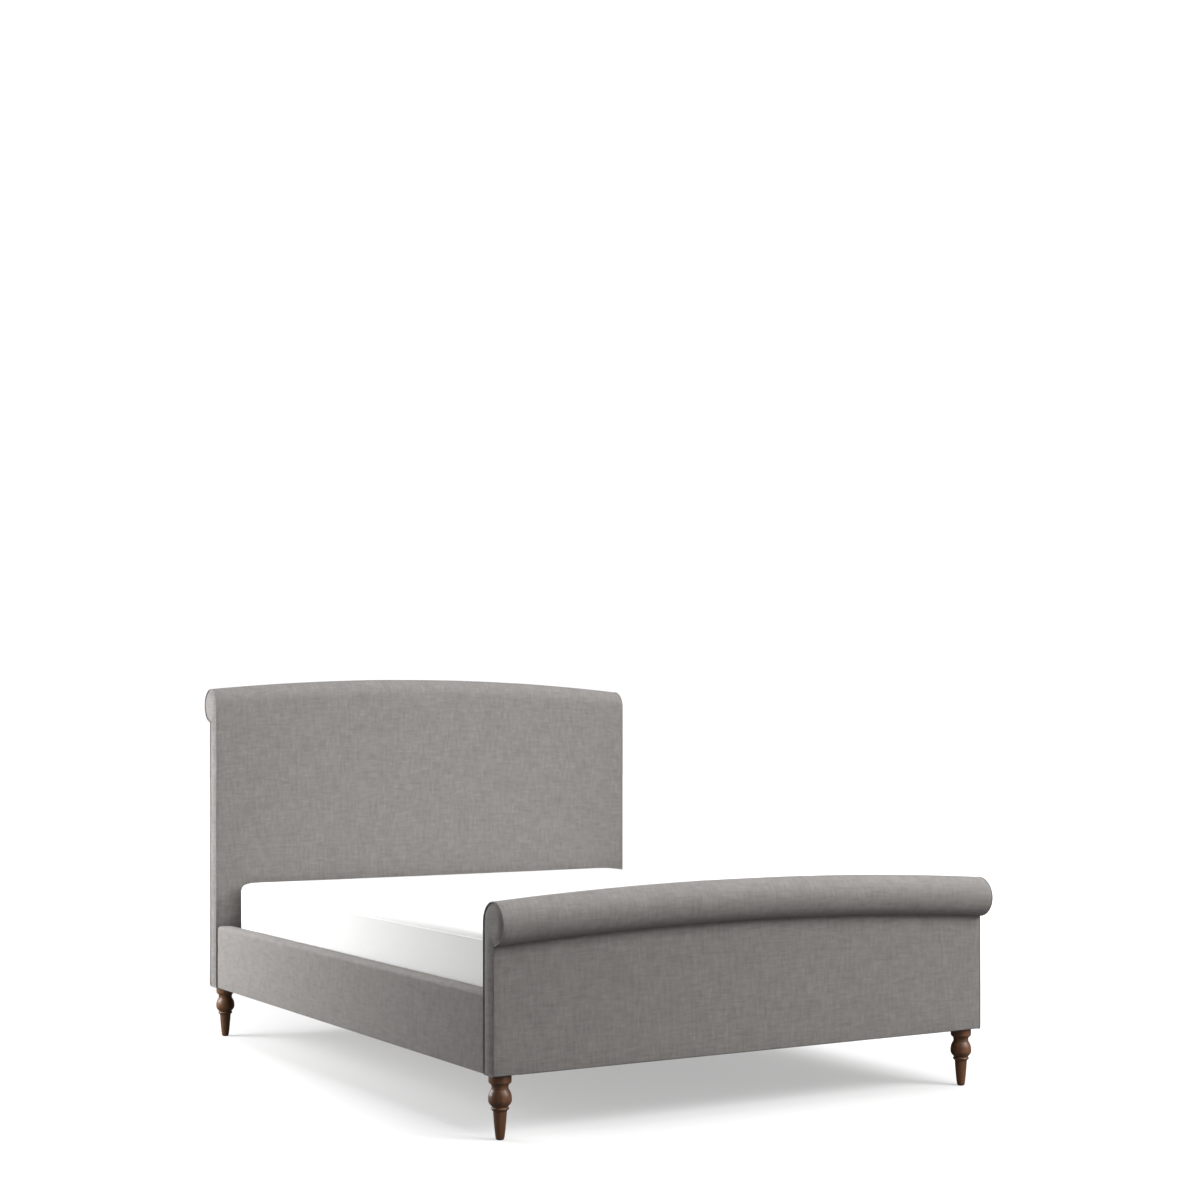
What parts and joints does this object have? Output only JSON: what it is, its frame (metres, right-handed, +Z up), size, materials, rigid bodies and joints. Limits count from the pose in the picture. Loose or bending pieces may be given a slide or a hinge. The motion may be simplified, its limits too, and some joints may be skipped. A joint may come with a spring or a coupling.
{
  "type": "sleigh bed",
  "caption": "Upholstered sleigh bed with arched scroll-topped headboard and footboard, padded side rails, slatted base, turned wooden legs and a mattress.",
  "frame": {"origin": "on the floor, under the centre of the bed's overall footprint", "axes": "+X across the bed, to the right for someone who stands at the foot and looks at the headboard; +Y along the bed to the headboard; +Z up"},
  "size_m": [1.62, 2.2298, 1.227],
  "materials": {
    "upholstery_fabric": "matte",
    "mattress_ticking": "matte",
    "foam": "matte",
    "leg_wood": "satin",
    "frame_timber": "matte",
    "slat_timber": "matte",
    "plywood": "matte",
    "fitting_steel": "satin",
    "black_nylon": "satin"
  },
  "bodies": {
    "bedstead": {"headboard_cover": "upholstery_fabric", "headboard_outer_panel": "upholstery_fabric", "headboard_roll_core": "foam", "headboard_face_board": "plywood", "headboard_bottom_rail": "frame_timber", "headboard_end_facing_left": "upholstery_fabric", "headboard_post_left": "frame_timber", "leg_headboard_left": "leg_wood", "leg_stud_headboard_left": "fitting_steel", "corner_bracket_headboard_left": "fitting_steel", "bed_bolt_headboard_left": "fitting_steel", "headboard_end_facing_right": "upholstery_fabric", "headboard_post_right": "frame_timber", "leg_headboard_right": "leg_wood", "leg_stud_headboard_right": "fitting_steel", "corner_bracket_headboard_right": "fitting_steel", "bed_bolt_headboard_right": "fitting_steel", "centre_rail_saddle_headboard": "fitting_steel", "footboard_cover": "upholstery_fabric", "footboard_outer_panel": "upholstery_fabric", "footboard_roll_core": "foam", "footboard_face_board": "plywood", "footboard_bottom_rail": "frame_timber", "footboard_end_facing_left": "upholstery_fabric", "footboard_post_left": "frame_timber", "leg_footboard_left": "leg_wood", "leg_stud_footboard_left": "fitting_steel", "corner_bracket_footboard_left": "fitting_steel", "bed_bolt_footboard_left": "fitting_steel", "footboard_end_facing_right": "upholstery_fabric", "footboard_post_right": "frame_timber", "leg_footboard_right": "leg_wood", "leg_stud_footboard_right": "fitting_steel", "corner_bracket_footboard_right": "fitting_steel", "bed_bolt_footboard_right": "fitting_steel", "centre_rail_saddle_footboard": "fitting_steel", "side_rail_left_cover": "upholstery_fabric", "side_rail_left_board": "frame_timber", "slat_bearer_left": "frame_timber", "side_rail_right_cover": "upholstery_fabric", "side_rail_right_board": "frame_timber", "slat_bearer_right": "frame_timber", "centre_rail": "frame_timber", "support_leg": "frame_timber", "slat_01": "slat_timber", "slat_02": "slat_timber", "slat_03": "slat_timber", "slat_04": "slat_timber", "slat_05": "slat_timber", "slat_06": "slat_timber", "slat_07": "slat_timber", "slat_08": "slat_timber", "slat_09": "slat_timber", "slat_10": "slat_timber", "slat_11": "slat_timber", "slat_12": "slat_timber"},
    "mattress": {"mattress": "mattress_ticking"},
    "levelling_foot": {"levelling_foot": "black_nylon"}
  },
  "joints": [
    {"name": "mattress_lift", "type": "slide", "parent": "bedstead", "child": "mattress", "axis": [0, 0, 1], "range_m": [0, 0.45]},
    {"name": "levelling_screw", "type": "slide", "parent": "bedstead", "child": "levelling_foot", "axis": [0, 0, 1], "range_m": [-0.01, 0.015]}
  ]
}
